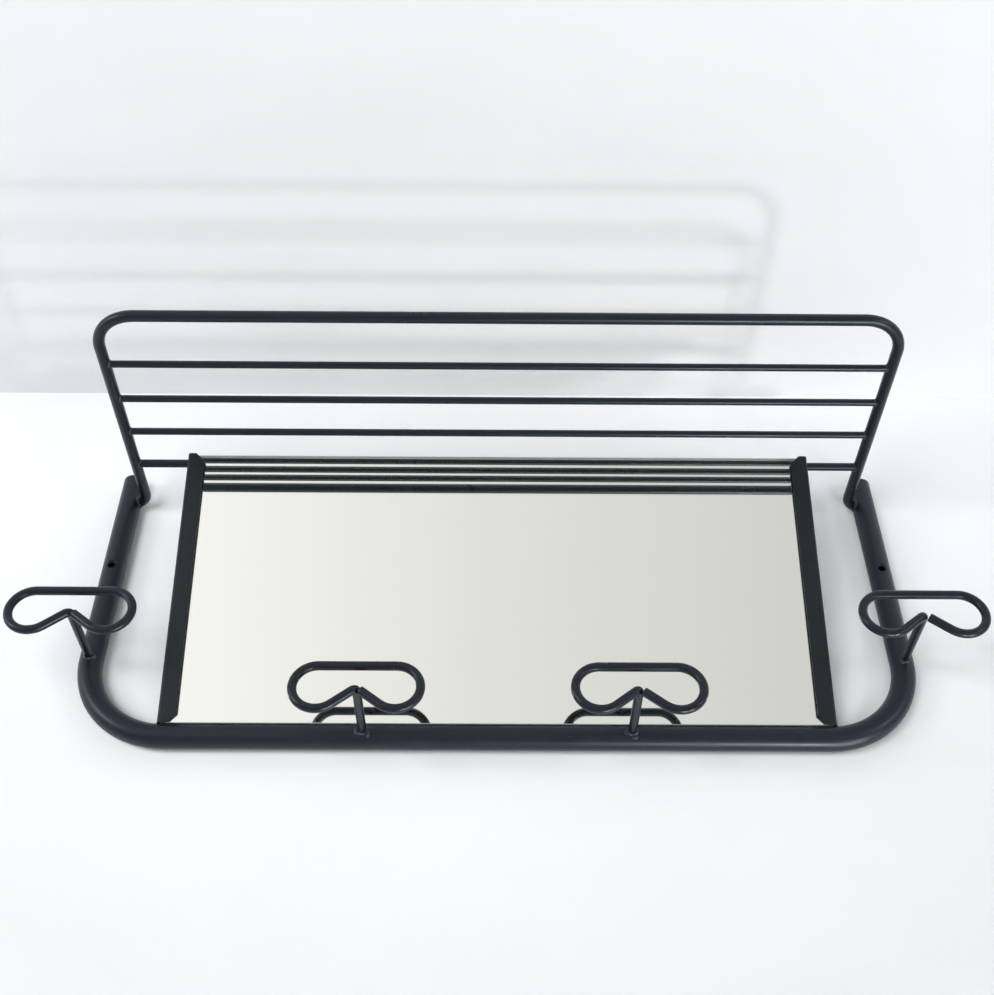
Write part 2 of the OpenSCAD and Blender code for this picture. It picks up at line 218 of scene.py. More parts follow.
def weld_paint(name, tone):
    """The same coat over a weld, thinner on the crests, with stacked ripples and spatter grain. Its colour is painted
    lighter than the rest of the coat and brighter still on the grain's crests, a painted highlight.
    """
    t = Tree(name)
    grain = t.noise(0.9, 4, 0.65)
    # Painted highlight: the crests that the grain's bump raises get the lighter tone
    base = t.mix(t.span(grain, 0, 1, 0.35, 0.7), shade(tone, 0.7), shade(tone, 2.4))
    t.set(Base_Color=base, IOR=1.5, Roughness=t.span(grain, 0.4, 0.24, 0.3, 0.7))
    t.set(Normal=t.bump(grain, 0.2, under=t.bump(t.noise(0.35, 1), 0.03)))
    return t.material


def moulded_plastic(name, tone):
    """Black moulded cap: fine spark-eroded grain, faint flow clouds and a scuffed sheen."""
    t = Tree(name)
    cloud = t.noise(5, 3)
    base = t.mix(cloud, shade(tone, 0.8), shade(tone, 1.3))
    t.set(Base_Color=base, IOR=1.49, Roughness=t.span(cloud, 0.4, 0.54, 0.3, 0.7))
    t.set(Normal=t.bump(t.noise(0.22, 2), 0.012))
    return t.material


def clear_glass(name):
    """Front of the mirror plate: float glass with a trace of green, faint wipe marks in its gloss."""
    t = Tree(name)
    wipe = t.noise(60, 3)
    t.set(Base_Color=[0.985, 0.995, 0.985, 1], Roughness=t.span(wipe, 0.0, 0.012, 0.5, 0.8), IOR=1.52)
    t.set(Transmission_Weight=1.0)
    return t.material


def ground_glass(name):
    """Seamed edge of the plate: frosted by the wheel, with fine chatter across the edge."""
    t = Tree(name)
    stretch = t.add("ShaderNodeMapping", {"Vector": t.place, "Scale": (6, 1, 1)}).outputs["Vector"]
    chatter = t.noise(2.5, 3, 0.6, stretch)
    t.set(Base_Color=t.mix(chatter, [0.36, 0.4, 0.39, 1], [0.6, 0.66, 0.64, 1]), IOR=1.52)
    t.set(Roughness=t.span(chatter, 0.35, 0.6, 0.3, 0.7), Transmission_Weight=0.35)
    t.set(Normal=t.bump(chatter, 0.03))
    return t.material


def silver(name):
    """The mirror's silvered rear face, seen through the glass, with very slight haze clouds."""
    t = Tree(name)
    haze = t.noise(90, 3)
    t.set(Base_Color=t.mix(haze, [0.955, 0.96, 0.95, 1], [0.975, 0.975, 0.965, 1]), Metallic=1.0)
    t.set(Roughness=t.span(haze, 0.0, 0.01, 0.45, 0.8))
    return t.material


def hardboard(name):
    """Backing board: pressed brown fibre with darker strands, pale flecks and a fine felted relief."""
    t = Tree(name)
    long = t.add("ShaderNodeMapping", {"Vector": t.place, "Scale": (0.35, 1, 1)}).outputs["Vector"]
    strand = t.noise(1.6, 5, 0.7, long)
    cloud = t.noise(45, 3)
    base = t.mix(cloud, [0.155, 0.092, 0.05, 1], [0.225, 0.14, 0.08, 1])
    base = t.mix(t.span(strand, 0, 0.75, 0.5, 0.72), base, [0.07, 0.04, 0.022, 1])
    fleck = t.span(t.noise(0.8, 2), 0, 0.6, 0.66, 0.74)
    base = t.mix(fleck, base, [0.42, 0.3, 0.19, 1])
    t.set(Base_Color=base, Roughness=t.span(strand, 0.68, 0.85, 0.3, 0.7), IOR=1.45)
    t.set(Normal=t.bump(strand, 0.07, under=t.bump(t.noise(0.3, 1), 0.02)))
    return t.material


def foam(name):
    """Grey foam tape with open cells, painted darker in the cells' pits as shade."""
    t = Tree(name)
    cells = t.add("ShaderNodeTexVoronoi", {"Vector": t.place, "Scale": 1 / (0.7 * MM)}, feature="F1")
    # Painted shade: the deeper in a cell's pit, the darker the colour
    deep = t.span(cells.outputs["Distance"], 1, 0, 0.0, 0.55)
    t.set(Base_Color=t.mix(deep, [0.075, 0.075, 0.08, 1], [0.02, 0.02, 0.022, 1]), Roughness=0.9)
    t.set(Normal=t.bump(cells.outputs["Distance"], 0.15))
    return t.material


TUBE_TONE = (0.0072, 0.0086, 0.0145)
PAINT_TONE = (0.0048, 0.0058, 0.01)
# Painted shade: the channels get a darker, greener copy of the black coat, standing in for their shade
SHEET_SHADED_TONE = (0.0042, 0.0052, 0.0062)
# Painted highlight: the welds' tone is several times lighter than the black coat
WELD_TONE_AND_HIGHLIGHT = (0.017, 0.02, 0.03)
CAP_TONE = (0.0085, 0.009, 0.0105)
paint_tube = satin_paint("paint_tube", TUBE_TONE, 0.36)
paint_rod = satin_paint("paint_rod", PAINT_TONE, 0.31, peel_mm=0.7, peel_depth=0.01, specks=1.4)
paint_sheet = satin_paint("paint_sheet", SHEET_SHADED_TONE, 0.4, peel_mm=1.1, peel_depth=0.012, specks=0.6)
paint_wire = satin_paint("paint_wire", PAINT_TONE, 0.29, peel_mm=0.7, peel_depth=0.01)
paint_weld = weld_paint("paint_weld", WELD_TONE_AND_HIGHLIGHT)
plastic_cap = moulded_plastic("plastic_cap", CAP_TONE)
glass_clear = clear_glass("glass_clear")
glass_ground = ground_glass("glass_ground")
silver_back = silver("silver_back")
board_brown = hardboard("board_brown")
foam_grey = foam("foam_grey")


# ------------------------------------------------------------------ mesh helpers

# Edges that turn by more degrees than this stay sharp
WIRE_SHARP, SHEET_SHARP, PLATE_SHARP = 50, 40, 1


def make_object(name, bm, materials, smooth_angle=None):
    """Turns a bmesh in millimetres of the row frame into a piece on the root body."""
    bmesh.ops.recalc_face_normals(bm, faces=bm.faces)
    mesh = bpy.data.meshes.new(name)
    bm.to_mesh(mesh)
    bm.free()
    mesh.transform(Matrix.Scale(MM, 4))
    for material in materials:
        mesh.materials.append(material)
    mesh.polygons.foreach_set("use_smooth", [True] * len(mesh.polygons))
    if smooth_angle is not None:
        mesh.set_sharp_from_angle(angle=math.radians(smooth_angle))
    piece = bpy.data.objects.new(name, mesh)
    scene.collection.objects.link(piece)
    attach(piece, "root")
    return piece


def skin(bm, rings, closed=False):
    """Joins rings of equally many vertices with quads."""
    count = len(rings[0])
    pairs = list(zip(rings, rings[1:]))
    if closed:
        pairs.append((rings[-1], rings[0]))
    for a, b in pairs:
        for i in range(count):
            j = (i + 1) % count
            bm.faces.new((a[i], a[j], b[j], b[i]))


def close_ends(bm, rings):
    """Puts a face on the first and the last ring."""
    for ring in (rings[0], rings[-1]):
        bm.faces.new(ring)


def ball(bm, around, rows):
    """The vertices of a new unit sphere, in the same order each run."""
    rings = []
    for j in range(1, rows):
        polar = math.pi * j / rows
        ring = []
        for i in range(around):
            a = 2 * math.pi * i / around
            ring.append(bm.verts.new((math.sin(polar) * math.cos(a), math.sin(polar) * math.sin(a), math.cos(polar))))
        rings.append(ring)
    skin(bm, rings)
    poles = [bm.verts.new((0, 0, 1)), bm.verts.new((0, 0, -1))]
    for pole, ring in zip(poles, (rings[0], rings[-1])):
        for i in range(around):
            bm.faces.new((pole, ring[i], ring[(i + 1) % around]))
    return sum(rings, poles)


def arc_points(centre, across, up, radius, start, end, steps):
    """Points on an arc in the plane of across and up, angles in degrees, without the first one."""
    found = []
    for k in range(1, steps + 1):
        a = math.radians(start + (end - start) * k / steps)
        found.append(centre + across * (radius * math.cos(a)) + up * (radius * math.sin(a)))
    return found


def line_points(start, end, steps):
    """Points on a line, without the first one."""
    return [start.lerp(end, k / steps) for k in range(1, steps + 1)]


# How far a drawn wire's surface wanders, as a share of its radius, and how fast along it, per millimetre
WANDER, WANDER_RATE = 0.004, 0.12


def sweep(bm, path, radii, sides, seed):
    """A closed round bar along path. radii gives the radius at each point; its surface wanders by microns."""
    shift = Vector((seed * 7.3, seed * 3.1, seed * 5.7))
    tangents = []
    for k in range(len(path)):
        before = path[max(k - 1, 0)]
        after = path[min(k + 1, len(path) - 1)]
        tangents.append((after - before).normalized())
    side = tangents[0].orthogonal().normalized()
    rings = []
    for k, point in enumerate(path):
        if k:
            side = tangents[k - 1].rotation_difference(tangents[k]) @ side
        other = tangents[k].cross(side)
        ring = []
        for i in range(sides):
            a = 2 * math.pi * i / sides
            out = side * math.cos(a) + other * math.sin(a)
            wander = 1 + WANDER * noise.noise((point + out * radii[k]) * WANDER_RATE + shift)
            ring.append(bm.verts.new(point + out * (radii[k] * wander)))
        rings.append(ring)
    skin(bm, rings)
    close_ends(bm, rings)


# ------------------------------------------------------------------ hooks

ARM_REACH = math.hypot(LOBE_X, LOBE_RISE)
ARM_LENGTH = math.sqrt(ARM_REACH ** 2 - LOBE_R ** 2)
ARM_ANGLE = math.degrees(math.asin(LOBE_R / ARM_REACH) - math.atan2(LOBE_RISE, LOBE_X))
HOOKS = {
    "hook_1": (-LEG_X, SIDE_HOOK_Z),
    "hook_2": (-RAIL_HOOK_X, RAIL_Z + RAIL_HOOK_RISE),
    "hook_3": (RAIL_HOOK_X, RAIL_Z + RAIL_HOOK_RISE),
    "hook_4": (LEG_X, SIDE_HOOK_Z),
}
RIGHT, UP, OUT = Vector((1, 0, 0)), Vector((0, 0, 1)), Vector((0, -1, 0))
STEM_STEPS, BEND_STEPS, ARM_STEPS, LOBE_STEPS, BAR_STEPS = 22, 12, 8, 40, 16
WIRE_SIDES = 28

# The cut end is rounded: where the rings before the last one lie, and the radii of the last two
CUT_OFFSETS = (0.35, 0.1)
CUT_SHARES = (0.975, 0.89)

# Faint rings that drawing and bending leave on the wire, as a share of its radius
DRAW_MARK = 0.0015


def hook_path(x, z, cut_end):
    """The wire's centreline: stem, bend, left arm, left lobe, top bar, right lobe, right arm."""
    base = RIGHT * x + UP * z
    plane = base + OUT * HOOK_OUT
    lean = math.radians(ARM_ANGLE)
    left_arm = RIGHT * -math.cos(lean) - UP * math.sin(lean)
    right_arm = RIGHT * math.cos(lean) - UP * math.sin(lean)
    path = [base + OUT * (2 * TUBE_R - STEM_SINK)]
    path += line_points(path[-1], base + OUT * (HOOK_OUT - STEM_BEND_R), STEM_STEPS)
    bend = base + OUT * (HOOK_OUT - STEM_BEND_R) + left_arm * STEM_BEND_R
    path += arc_points(bend, left_arm, OUT, STEM_BEND_R, 180, 90, BEND_STEPS)
    path += line_points(path[-1], plane + left_arm * ARM_LENGTH, ARM_STEPS)
    left_lobe = plane - RIGHT * LOBE_X + UP * LOBE_RISE
    path += arc_points(left_lobe, RIGHT, UP, LOBE_R, 270 + ARM_ANGLE, 90, LOBE_STEPS)
    right_lobe = plane + RIGHT * LOBE_X + UP * LOBE_RISE
    path += line_points(path[-1], right_lobe + UP * LOBE_R, BAR_STEPS)
    path += arc_points(right_lobe, RIGHT, UP, LOBE_R, 90, -90 - ARM_ANGLE, LOBE_STEPS)
    path += line_points(path[-1], plane + right_arm * cut_end, ARM_STEPS)
    return path


def hook_piece(name, number):
    """A hook's wire. number is its place in HOOKS, from 1, and the seed of its surface."""
    x, z = HOOKS[name]
    path = hook_path(x, z, CUT_ENDS[number - 1])
    back = (path[-2] - path[-1]).normalized()
    end = path.pop()
    path += [end + back * offset for offset in CUT_OFFSETS] + [end]
    radii = [WIRE_R * (1 - DRAW_MARK * (k % 3)) for k in range(len(path))]
    radii[-2:] = [WIRE_R * share for share in CUT_SHARES]
    bm = bmesh.new()
    sweep(bm, path, radii, WIRE_SIDES, number)
    piece = make_object(name + "_wire", bm, [paint_wire], WIRE_SHARP)
    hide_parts(name)


# ------------------------------------------------------------------ weld beads

# A bead's puddles along it, its mesh, and how deep its toes and its root lie in the metal
PUDDLE, FEWEST_PUDDLES = 0.9, 9
TURNS_PER_PUDDLE, FEWEST_TURNS = 6, 48
BEAD_STEPS = 7
TOE_SINK, ROOT_SINK = 0.06, 0.35

# Where the control point of its round surface lies, as a share of its size
CROWN_SHARE = 0.62

# How fast its size varies around the rod, and its share of the size between two puddles and what a puddle adds
LUMP_RATE = 1.3
BETWEEN_PUDDLES, PUDDLE_RISE = 0.86, 0.2

# How much the lumps and the channels' puddles swell and how fast, then a lump's ripples and how fast they follow
TACK_SWELL, TACK_RATE = 0.28, 1.9
BLOB_SWELL, BLOB_RATE = 0.16, 2.2
TACK_RIPPLE, TACK_RIPPLE_RATE = 0.05, 9

# The first seed of each group of beads
HOOK_SEED, DECK_SEED, REAR_SEED, FOOT_SEED, CHANNEL_FOOT_SEED, CHANNEL_TOP_SEED = 11, 31, 51, 61, 71, 81


def bead_ring(bm, foot, axis, rod_r, host_at, host_axis, host_r, leg, seed, lumps):
    """A weld bead round a rod where it meets a round bar, as a closed ring of overlapping puddles.

    foot is a point on the rod's axis near the host's surface, axis points away from the host. leg is the bead's
    size, and lumps is the share by which it swells and shrinks around the rod."""
    rand = random.Random(seed)
    phase = rand.uniform(0, 6.28)
    puddles = max(FEWEST_PUDDLES, int(2 * math.pi * (rod_r + leg) / PUDDLE))
    side = axis.orthogonal().normalized()
    other = axis.cross(side)
    turns = max(FEWEST_TURNS, puddles * TURNS_PER_PUDDLE)
    rings = []
    for i in range(turns):
        a = 2 * math.pi * i / turns
        out = side * math.cos(a) + other * math.sin(a)
        start = foot + out * rod_r
        away = start - host_at
        away -= host_axis * away.dot(host_axis)
        along = axis - host_axis * axis.dot(host_axis)
        # Where the rod's surface line meets the host: the outer root of a quadratic
        qa, qb, qc = along.dot(along), 2 * along.dot(away), away.dot(away) - host_r ** 2
        root = (-qb + math.sqrt(max(qb * qb - 4 * qa * qc, 0))) / (2 * qa)
        meet = start + axis * root
        normal = meet - host_at
        normal = (normal - host_axis * normal.dot(host_axis)).normalized()
        spread = (out - normal * out.dot(normal)).normalized()
        ripple = abs(math.sin(puddles * a / 2 + phase))
        place = Vector((math.cos(a) * LUMP_RATE, math.sin(a) * LUMP_RATE, seed * 2.7))
        size = leg * (1 + lumps * noise.noise(place)) * (BETWEEN_PUDDLES + PUDDLE_RISE * ripple)
        toe_rod = meet + axis * size - out * TOE_SINK
        toe_host = meet + spread * size
        back = toe_host - host_at
        flat = host_axis * back.dot(host_axis)
        toe_host = host_at + flat + (back - flat).normalized() * (host_r - TOE_SINK)
        crown = meet + (axis + spread) * (size * CROWN_SHARE)
        ring = []
        for k in range(BEAD_STEPS):
            s = k / (BEAD_STEPS - 1)
            ring.append(toe_rod * (1 - s) ** 2 + crown * (2 * s * (1 - s)) + toe_host * s ** 2)
        ring.append(meet - (out + normal) * ROOT_SINK)
        rings.append([bm.verts.new(p) for p in ring])
    skin(bm, rings, closed=True)


# Lumps where the welder stopped: their place along the tube and around it from the stem's foot, then the half sizes
TACKS = {
    "hook_1": (((-1.0, 4.0), (1.6, 1.8, 1.1)), ((1.5, -3.6), (1.4, 1.2, 0.8))),
    "hook_2": (((-4.3, 0.2), (1.6, 2.8, 1.4)), ((4.1, 2.6), (1.5, 2.3, 1.3))),
    "hook_3": (((-4.4, 0.4), (1.5, 1.9, 1.1)), ((1.6, 4.1), (2.6, 1.5, 1.4))),
    "hook_4": (((-3.4, -2.4), (1.6, 1.7, 1.1)), ((-1.2, 3.6), (1.5, 1.5, 1.0))),
}


def tack(bm, host_at, host_axis, place, size, seed):
    """A lump of weld metal on a tube, rippled as it set."""
    along, around = place
    across = host_axis.cross(OUT)
    turn = around / TUBE_R
    out = OUT * math.cos(turn) + across * math.sin(turn)
    tangent = across * math.cos(turn) - OUT * math.sin(turn)
    centre = host_at + host_axis * along + out * TUBE_R
    for v in ball(bm, 32, 20):
        swell = TACK_SWELL * noise.noise(v.co * TACK_RATE + Vector((seed, 0, 0)))
        part = v.co * (1 + swell + TACK_RIPPLE * math.sin(TACK_RIPPLE_RATE * v.co.y + seed))
        v.co = centre + host_axis * (part.x * size[0]) + tangent * (part.y * size[1]) + out * (part.z * size[2])


# Sizes of the beads and how much they vary, then the half sizes of the puddles at the channels
HOOK_BEAD, HOOK_BEAD_LUMPS = 1.15, 0.5
DECK_BEAD, REAR_BEAD, SHELF_BEAD_LUMPS = 0.75, 0.62, 0.15
FOOT_BEAD, FOOT_BEAD_LUMPS = 1.35, 0.3
CHANNEL_FOOT_BLOB, CHANNEL_TOP_BLOB = (1.3, 2.0, 1.3), (1.9, 1.9, 2.4)

# How far outside the web the middles of those puddles lie, and how far behind the channel the upper ones
FOOT_BLOB_OUT, TOP_BLOB_OUT, TOP_BLOB_BACK = 0.1, 0.2, 0.4


def hook_beads():
    """A bead round each stem's foot, with two lumps."""
    bm = bmesh.new()
    for seed, (name, (x, z)) in enumerate(HOOKS.items(), HOOK_SEED):
        on_leg = abs(x) == LEG_X
        host_axis = UP if on_leg else RIGHT
        host_at = Vector((x, -TUBE_R, z)) if on_leg else Vector((x, -TUBE_R, RAIL_Z))
        foot = Vector((x, -2 * TUBE_R, z))
        bead_ring(bm, foot, OUT, WIRE_R, host_at, host_axis, TUBE_R, HOOK_BEAD, seed, HOOK_BEAD_LUMPS)
        for step, (place, size) in enumerate(TACKS[name]):
            tack(bm, host_at, host_axis, place, size, seed + 20 * step)
    piece = make_object("hook_beads", bm, [paint_weld])
    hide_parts("hook_weld_beads")


def cross_rod_ring(bm, out, rod_r, leg, seed):
    """Beads at both ends of a cross rod that lies out millimetres from the wall."""
    for side in (-1, 1):
        host_at = Vector((side * SIDE_ROD_X, -out, SHELF_Z))
        foot = host_at - RIGHT * (side * OUTER_ROD_R)
        bead_ring(bm, foot, RIGHT * -side, rod_r, host_at, OUT, OUTER_ROD_R, leg, seed + side, SHELF_BEAD_LUMPS)


def shelf_beads():
    """Beads of the three deck rods in one piece, those of the rear rod in another."""
    bm = bmesh.new()
    for k, out in enumerate(DECK_ROD_OUTS):
        cross_rod_ring(bm, out, DECK_ROD_R, DECK_BEAD, DECK_SEED + 4 * k)
    piece = make_object("deck_rod_beads", bm, [paint_weld])
    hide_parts("deck_rod_weld_beads")
    bm = bmesh.new()
    cross_rod_ring(bm, REAR_ROD_OUT, REAR_ROD_R, REAR_BEAD, REAR_SEED)
    piece = make_object("rear_rod_beads", bm, [paint_weld])
    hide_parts("rear_rod_weld_beads")


def foot_beads():
    """Beads where the shelf's feet, still turning, run into the legs."""
    bm = bmesh.new()
    for side in (-1, 1):
        bend = Vector((side * (SIDE_ROD_X + FOOT_BEND_R), -TUBE_R - FOOT_BEND_R, SHELF_Z))
        turn = math.acos((SIDE_ROD_X + FOOT_BEND_R - LEG_X + TUBE_R) / FOOT_BEND_R)
        away = RIGHT * (-side * math.cos(turn)) + OUT * -math.sin(turn)
        foot = bend + away * FOOT_BEND_R
        axis = RIGHT * (-side * math.sin(turn)) + OUT * math.cos(turn)
        host_at = Vector((side * LEG_X, -TUBE_R, SHELF_Z))
        seed = FOOT_SEED + side
        bead_ring(bm, foot, axis, OUTER_ROD_R, host_at, UP, TUBE_R, FOOT_BEAD, seed, FOOT_BEAD_LUMPS)
    piece = make_object("shelf_foot_beads", bm, [paint_weld])
    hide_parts("shelf_foot_weld_beads")


def on_mirror(point):
    """A point of the mirror's own frame (X, depth to the back, height from the rail) in the row frame."""
    x, depth, height = point
    return Vector((
        x,
        -TUBE_R + depth * math.cos(TILT) - height * math.sin(TILT),
        RAIL_Z + depth * math.sin(TILT) + height * math.cos(TILT),
    ))


def blob(bm, centre, size, seed):
    """A small uneven puddle of weld metal, centre and half sizes in the mirror's frame."""
    for v in ball(bm, 24, 16):
        swell = 1 + BLOB_SWELL * noise.noise(v.co * BLOB_RATE + Vector((seed, 0, 0)))
        local = Vector((centre[i] + v.co[i] * size[i] * swell for i in range(3)))
        v.co = on_mirror(local)


def channel_beads():
    """Puddles that hold the channels on the rail and on the rear rod."""
    bm = bmesh.new()
    for side in (-1, 1):
        at = (side * (MIRROR_HALF_W + FOOT_BLOB_OUT), 0.0, CHANNEL_FOOT)
        blob(bm, at, CHANNEL_FOOT_BLOB, CHANNEL_FOOT_SEED + side)
    piece = make_object("channel_foot_beads", bm, [paint_weld])
    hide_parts("channel_foot_weld_beads")
    bm = bmesh.new()
    for side in (-1, 1):
        at = (side * (MIRROR_HALF_W + TOP_BLOB_OUT), CHANNEL_BACK + TOP_BLOB_BACK, ROD_ALONG)
        blob(bm, at, CHANNEL_TOP_BLOB, CHANNEL_TOP_SEED + side)
    piece = make_object("channel_top_beads", bm, [paint_weld])
    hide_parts("channel_top_weld_beads")


# ------------------------------------------------------------------ mirror

def channel_ring(tip):
    """The channel's section with its flanges ending at tip, web towards -X, as (x, depth) points."""
    outer, inner = CHANNEL_EDGE_R, CHANNEL_EDGE_R - SHEET
    fold_x = CHANNEL_EDGE_R - MIRROR_HALF_W
    front_fold, back_fold = CHANNEL_FRONT + CHANNEL_EDGE_R, CHANNEL_BACK - CHANNEL_EDGE_R

    def fold(depth, radius, start, step):
        """A quarter turn of one fold's surface, from start degrees in steps of step."""
        angles = [math.radians(start + step * k) for k in range(90 // abs(step) + 1)]
        return [(fold_x + radius * math.cos(a), depth + radius * math.sin(a)) for a in angles]

    ring = [(tip, CHANNEL_FRONT)]
    ring += fold(front_fold, outer, 270, -15) + fold(back_fold, outer, 180, -15)
    ring += [(tip, CHANNEL_BACK), (tip, CHANNEL_BACK - SHEET)]
    ring += fold(back_fold, inner, 90, 30) + fold(front_fold, inner, 180, 30)
    ring.append((tip, CHANNEL_FRONT + SHEET))
    return ring


CHANNEL_STATIONS = 24
CUT_EDGE_R = 0.22


def channel_piece(name, side):
    """A folded channel with slanted corners at both ends of its flanges."""
    full, short = CHANNEL_FACE - MIRROR_HALF_W, CHANNEL_FACE - CHANNEL_CORNER - MIRROR_HALF_W
    stations = [(CHANNEL_FOOT, short), (CHANNEL_FOOT + CHANNEL_CORNER, full)]
    span = CHANNEL_TOP - CHANNEL_FOOT - 2 * CHANNEL_CORNER
    for k in range(1, CHANNEL_STATIONS):
        stations.append((CHANNEL_FOOT + CHANNEL_CORNER + span * k / CHANNEL_STATIONS, full))
    stations += [(CHANNEL_TOP - CHANNEL_CORNER, full), (CHANNEL_TOP, short)]
    bm = bmesh.new()
    rings = []
    for height, tip in stations:
        ring = []
        for x, depth in channel_ring(tip):
            ring.append(bm.verts.new(on_mirror((-side * x, depth, height))))
        rings.append(ring)
    skin(bm, rings)
    close_ends(bm, rings)
    piece = make_object(name + "_sheet", bm, [paint_sheet], SHEET_SHARP)
    bevel = piece.modifiers.new("rounded_cut_edges", "BEVEL")
    bevel.width = CUT_EDGE_R * MM
    bevel.segments = 2
    bevel.limit_method = "ANGLE"
    bevel.angle_limit = math.radians(SHEET_SHARP)
    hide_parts(name)


def glass_piece():
    """The plate: clear front, ground seams at its top and foot, silvered back."""
    depths = (GLASS_FRONT, GLASS_FRONT + GLASS_SEAM, GLASS_FRONT + GLASS_T)
    section = [
        (depths[0], GLASS_FOOT + FOOT_SEAM), (depths[0] + FOOT_SEAM, GLASS_FOOT), (depths[2], GLASS_FOOT),
        (depths[2], GLASS_TOP), (depths[1], GLASS_TOP), (depths[0], GLASS_TOP - GLASS_SEAM),
    ]
    # Material of the face that starts at each corner of the section: 0 clear, 1 ground, 2 silvered
    kinds = (1, 1, 2, 1, 1, 0)
    bm = bmesh.new()
    rings = [[bm.verts.new(on_mirror((x, d, h))) for d, h in section] for x in (-PANE_HALF_W, PANE_HALF_W)]
    for i in range(len(section)):
        j = (i + 1) % len(section)
        face = bm.faces.new((rings[0][i], rings[0][j], rings[1][j], rings[1][i]))
        face.material_index = kinds[i]
    for ring in rings:
        bm.faces.new(ring).material_index = 1
    glasses = [glass_clear, glass_ground, silver_back]
    piece = make_object("mirror_plate", bm, glasses, PLATE_SHARP)
    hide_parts("mirror_glass")


for number, hook in enumerate(HOOKS, 1):
    hook_piece(hook, number)
hook_beads()
shelf_beads()
foot_beads()
channel_beads()
channel_piece("mirror_channel_left", -1)
channel_piece("mirror_channel_right", 1)
glass_piece()

# ------------------------------------------------------------------ finishes of the CAD solids that stay

FINISHES = {
    "frame_tube": paint_tube,
    "frame_end_cap_left": plastic_cap,
    "frame_end_cap_right": plastic_cap,
    "shelf_outer_rod": paint_rod,
    "shelf_deck_rod_1": paint_rod,
    "shelf_deck_rod_2": paint_rod,
    "shelf_deck_rod_3": paint_rod,
    "shelf_rear_rod": paint_rod,
    "mirror_backing": board_brown,
    "cushion_strip_left": foam_grey,
    "cushion_strip_right": foam_grey,
}
for node_name, finish in FINISHES.items():
    for held in nodes[node_name].material_slots:
        held.material = finish


# ------------------------------------------------------------------ stage

# Painted light: the cloth is painted whiter where the object lies, a painted pool of light: half axes of that place
# in metres, and where it fades
LIT_POOL_AXES = (0.42, 0.3, 0.3)
POOL_FULL_TO, POOL_FADED_FROM = 0.75, 1.2


def cloth(name):
    """Pale cloth, shown only from its face so that the object can be seen from behind. It carries a painted pool of
    light round the object and painted shading in its folds.
    """
    t = Tree(name)
    weave = t.noise(0.8, 2)
    fold = t.noise(120, 2)
    crease = t.noise(34, 3, 0.6)
    shrink = [1 / axis for axis in LIT_POOL_AXES]
    across = t.add("ShaderNodeVectorMath", {0: t.place, 1: shrink}, operation="MULTIPLY")
    reach = t.add("ShaderNodeVectorMath", {0: across.outputs["Vector"]}, operation="LENGTH").outputs["Value"]
    # Painted shading: the fold noise that lifts the cloth also lightens it; the inner tones are the painted pool of
    # light
    outer = t.mix(fold, [0.845, 0.85, 0.86, 1], [0.875, 0.88, 0.89, 1])
    inner = t.mix(fold, [0.925, 0.93, 0.94, 1], [0.945, 0.95, 0.96, 1])
    t.set(Base_Color=t.mix(t.span(reach, 0, 1, POOL_FULL_TO, POOL_FADED_FROM), inner, outer), Roughness=0.9)
    t.set(Specular_IOR_Level=0.2)
    t.set(Normal=t.bump(fold, 3.5, under=t.bump(crease, 0.6, under=t.bump(weave, 0.06))))
    clear = t.add("ShaderNodeBsdfTransparent")
    behind = t.add("ShaderNodeNewGeometry").outputs["Backfacing"]
    both = t.add("ShaderNodeMixShader", {0: behind, 1: t.shader.outputs["BSDF"], 2: clear.outputs["BSDF"]})
    t.put(both.outputs["Shader"], t.tree.nodes["Material Output"].inputs["Surface"])
    return t.material


# The stage in metres: a cloth on the wall plane and one that stands out from it above the object
STAGE_CLOTH = cloth("stage_cloth")
HALF_WIDTH, BELOW, HORIZON, REACH = 2.2, 2.2, 0.209, 0.5
WALL_Y = 0.0002


def sheet_of_cloth(name, corners):
    bm = bmesh.new()
    bm.faces.new([bm.verts.new(Vector(c)) for c in corners])
    mesh = bpy.data.meshes.new(name)
    bm.to_mesh(mesh)
    bm.free()
    mesh.materials.append(STAGE_CLOTH)
    piece = bpy.data.objects.new(name, mesh)
    scene.collection.objects.link(piece)


sheet_of_cloth("stage_wall", [
    (-HALF_WIDTH, WALL_Y, -BELOW), (HALF_WIDTH, WALL_Y, -BELOW),
    (HALF_WIDTH, WALL_Y, HORIZON), (-HALF_WIDTH, WALL_Y, HORIZON)])
sheet_of_cloth("stage_backdrop", [
    (-HALF_WIDTH, WALL_Y, HORIZON), (HALF_WIDTH, WALL_Y, HORIZON),
    (HALF_WIDTH, -REACH, HORIZON), (-HALF_WIDTH, -REACH, HORIZON)])


# ------------------------------------------------------------------ light

# The way that the mirror looks, and the cosines to it between which the room fades to its lit side
WINDOW_WAY = (0.0, -0.98, 0.18)
LIT_FROM, LIT_TO = 0.72, 0.9

# The lit side's brightness from left to right
ACROSS = 0.35
ROOM_STOPS = ((0.0, 1.0), (0.19, 0.95), (0.5, 0.775), (0.83, 0.665), (1.0, 0.63))
ROOM_DIM = (0.43, 0.46, 0.515, 1)
BEHIND_WALL = (0.93, 0.94, 0.96, 1)
BEHIND_FROM = 0.3
FILL_TONE = (0.975, 0.985, 1.0, 1)
FILL = 0.165


